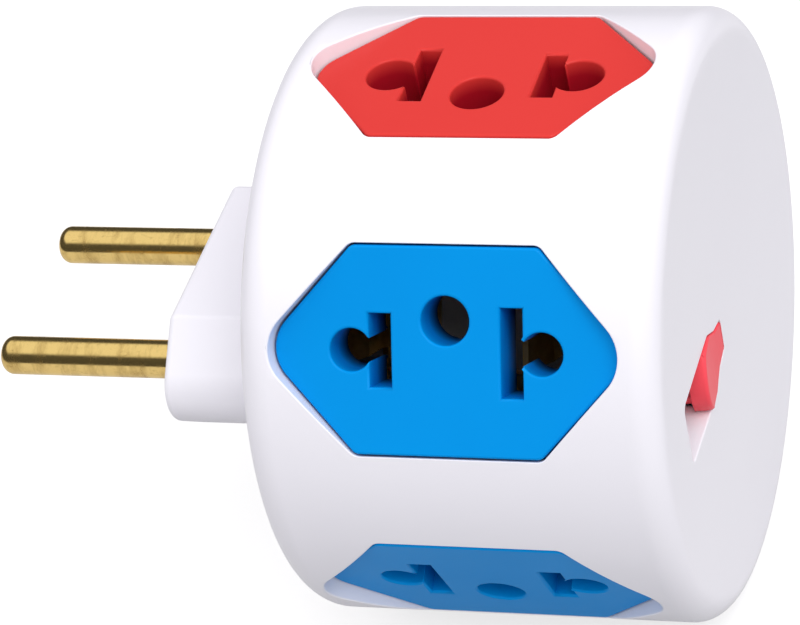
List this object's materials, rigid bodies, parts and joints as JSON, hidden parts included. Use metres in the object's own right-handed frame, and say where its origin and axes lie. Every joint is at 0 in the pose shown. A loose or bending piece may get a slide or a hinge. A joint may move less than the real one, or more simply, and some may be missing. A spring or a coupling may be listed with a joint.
{
  "type": "multi socket adapter",
  "caption": "White drum adapter with hexagonal coloured sockets round its side, a round-pin plug on its rear face and a small red rocker switch in its front face.",
  "frame": {"origin": "centre of the plug base's flat seating face, midway between the plug pins", "axes": "+X along the drum's axis to the front face with the switch, the plug pins lie side by side along Y and point to -X, the drum stands out of a wall with one red socket facing +Z"},
  "size_m": [0.0761, 0.0618, 0.0618],
  "materials": {
    "white_plastic": "smooth, slightly glossy moulding",
    "blue_plastic": "smooth, satin to glossy moulding",
    "red_plastic": "smooth, satin to glossy moulding",
    "rocker_plastic": "glossy, slightly translucent moulding",
    "pin_brass": "turned and polished",
    "contact_brass": "stamped strip",
    "screw_steel": "zinc plated",
    "spring_steel": "drawn wire",
    "grey_insulator": "matt moulding"
  },
  "bodies": {
    "drum_body": {"rear_housing": "white_plastic", "front_cover": "white_plastic", "line_pin": "pin_brass", "neutral_pin": "pin_brass", "rear_contact_ring": "contact_brass", "front_contact_ring": "contact_brass", "ring_spacer": "grey_insulator", "retaining_washer": "screw_steel", "post_screw": "screw_steel", "neutral_strap": "contact_brass", "line_strap": "contact_brass", "load_terminal": "contact_brass", "switch_base": "grey_insulator", "red_socket_top": "red_plastic", "blue_socket_left_upper": "blue_plastic", "blue_socket_left_lower": "blue_plastic", "red_socket_bottom": "red_plastic", "blue_socket_right_lower": "blue_plastic", "blue_socket_right_upper": "blue_plastic"},
    "rocker_body": {"rocker": "rocker_plastic", "plunger": "screw_steel", "plunger_spring": "spring_steel"},
    "lever_body": {"contact_lever": "contact_brass"}
  },
  "joints": [
    {"name": "rocker_tilt", "type": "hinge", "parent": "drum_body", "child": "rocker_body", "pos_m": [0.0539, -0.0106, 0.0012], "axis": [0, 0, 1], "range_deg": [-16, 0]},
    {"name": "lever_rock", "type": "hinge", "parent": "drum_body", "child": "lever_body", "pos_m": [0.04872, -0.0106, 0.0012], "axis": [0, 0, 1], "range_deg": [0, 18]}
  ],
  "couplings": [
    {"joint": "lever_rock", "follows": "rocker_tilt", "ratio": -1.125}
  ]
}
